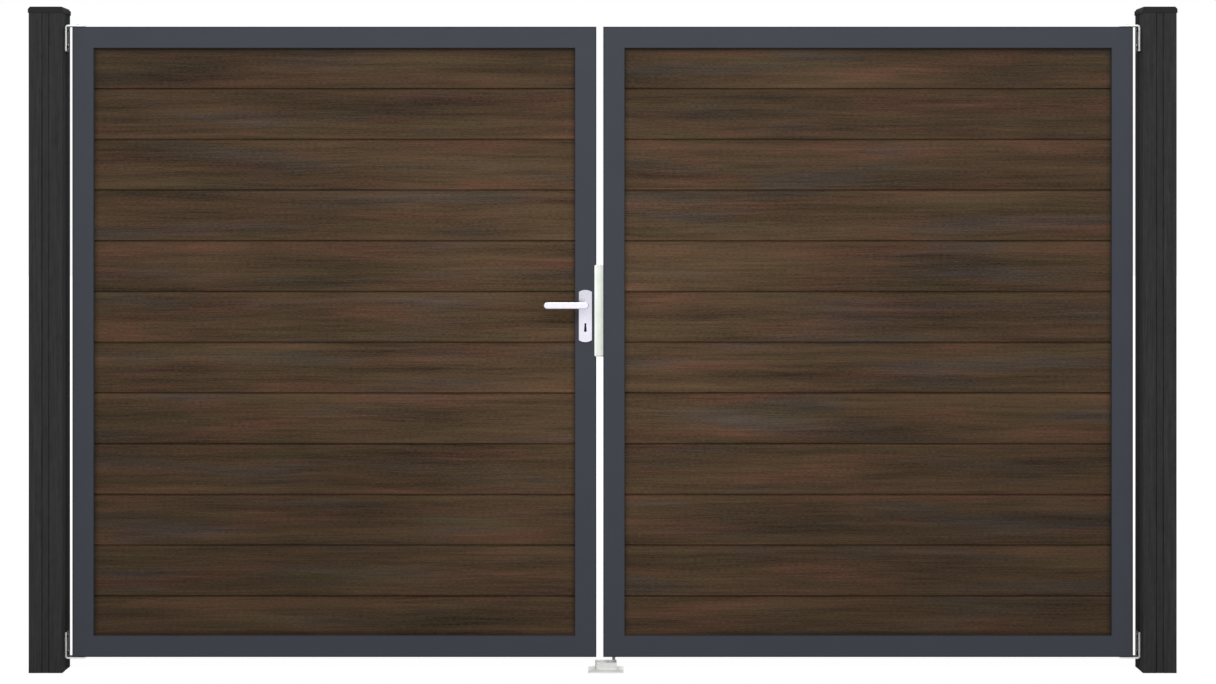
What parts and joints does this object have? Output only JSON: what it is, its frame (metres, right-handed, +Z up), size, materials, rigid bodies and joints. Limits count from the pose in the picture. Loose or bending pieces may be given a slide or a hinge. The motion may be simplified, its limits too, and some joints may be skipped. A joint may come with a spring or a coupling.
{
  "type": "composite double gate",
  "caption": "Double swing gate: slotted posts, framed leaves filled with grooved composite boards, lever lock, keep and drop bolt.",
  "frame": {"origin": "on the ground, midway between the posts and in the middle of their depth", "axes": "+X to the right seen from the front (the side that shows the keep's lip), +Y from the front to the back, +Z up"},
  "size_m": [3.2674, 0.156, 1.895],
  "materials": {
    "post_profile": "black-grey brushed coat on an extruded post",
    "post_cap": "black-grey coat on a cast cap",
    "cover_strip": "black-grey matte strip",
    "galvanised_steel": "galvanised",
    "bright_steel": "zinc-bright, lightly brushed",
    "bracket_coat": "black coat with bright bare cut edges at the front",
    "dark_steel": "blackened steel",
    "white_nylon": "plain nylon",
    "cast_aluminium": "fine cast skin, satin",
    "frame_coat": "fine-texture anthracite powder coat",
    "board_composite": "dark brown wood-polymer composite with long streaks",
    "satin_aluminium": "silver anodised, satin",
    "lock_steel": "nickelled steel",
    "keep_steel": "pale zinc-bright sheet",
    "black_nylon": "black nylon"
  },
  "bodies": {
    "posts": {"post_left": "post_profile", "post_right": "post_profile", "post_cap_left": "post_cap", "post_cap_right": "post_cap", "post_cores": "galvanised_steel", "post_cover_strips": "cover_strip", "hinge_brackets": "bracket_coat", "pivot_pins": "dark_steel", "bracket_bolts": "dark_steel", "thrust_washers": "white_nylon", "ground_stop": "cast_aluminium"},
    "left_leaf": {"left_hinge_stile": "frame_coat", "left_meeting_stile": "frame_coat", "left_top_rail": "frame_coat", "left_bottom_rail": "frame_coat", "left_corner_blocks": "cast_aluminium", "left_board_1": "board_composite", "left_board_2": "board_composite", "left_board_3": "board_composite", "left_board_4": "board_composite", "left_board_5": "board_composite", "left_board_6": "board_composite", "left_board_7": "board_composite", "left_board_8": "board_composite", "left_board_9": "board_composite", "left_board_10": "board_composite", "left_board_11": "board_composite", "left_board_12": "board_composite", "lock_case": "lock_steel", "lock_plate_front": "satin_aluminium", "lock_plate_back": "satin_aluminium", "lock_screws": "bright_steel"},
    "right_leaf": {"right_hinge_stile": "frame_coat", "right_meeting_stile": "frame_coat", "right_top_rail": "frame_coat", "right_bottom_rail": "frame_coat", "right_corner_blocks": "cast_aluminium", "right_board_1": "board_composite", "right_board_2": "board_composite", "right_board_3": "board_composite", "right_board_4": "board_composite", "right_board_5": "board_composite", "right_board_6": "board_composite", "right_board_7": "board_composite", "right_board_8": "board_composite", "right_board_9": "board_composite", "right_board_10": "board_composite", "right_board_11": "board_composite", "right_board_12": "board_composite", "keep": "keep_steel", "keep_screws": "bright_steel", "drop_bolt_guide": "black_nylon"},
    "lever": {"lever_front": "satin_aluminium", "lever_back": "satin_aluminium", "lever_spindle": "lock_steel"},
    "latch_bolt": {"latch_bolt": "lock_steel"},
    "dead_bolt": {"dead_bolt": "lock_steel"},
    "drop_bolt": {"drop_bolt_rod": "dark_steel", "drop_bolt_knob": "black_nylon"}
  },
  "joints": [
    {"name": "left_leaf_swing", "type": "hinge", "parent": "posts", "child": "left_leaf", "pos_m": [-1.5033, 0, 0.04], "axis": [0, 0, 1], "range_deg": [0, 100]},
    {"name": "right_leaf_swing", "type": "hinge", "parent": "posts", "child": "right_leaf", "pos_m": [1.5033, 0, 0.04], "axis": [0, 0, -1], "range_deg": [-100, 0]},
    {"name": "lever_turn", "type": "hinge", "parent": "left_leaf", "child": "lever", "pos_m": [-0.04925, 0, 1.046], "axis": [0, -1, 0], "range_deg": [0, 40], "stiffness_Nm_per_rad": 0.6, "springref_deg": -68.75},
    {"name": "latch_slide", "type": "slide", "parent": "left_leaf", "child": "latch_bolt", "axis": [1, 0, 0], "range_m": [-0.011, 0]},
    {"name": "dead_bolt_slide", "type": "slide", "parent": "left_leaf", "child": "dead_bolt", "axis": [1, 0, 0], "range_m": [0, 0.032]},
    {"name": "drop_bolt_slide", "type": "slide", "parent": "right_leaf", "child": "drop_bolt", "axis": [0, 0, -1], "range_m": [0, 0.025]}
  ],
  "couplings": [
    {"joint": "latch_slide", "follows": "lever_turn", "m_per_rad": -0.01575}
  ]
}
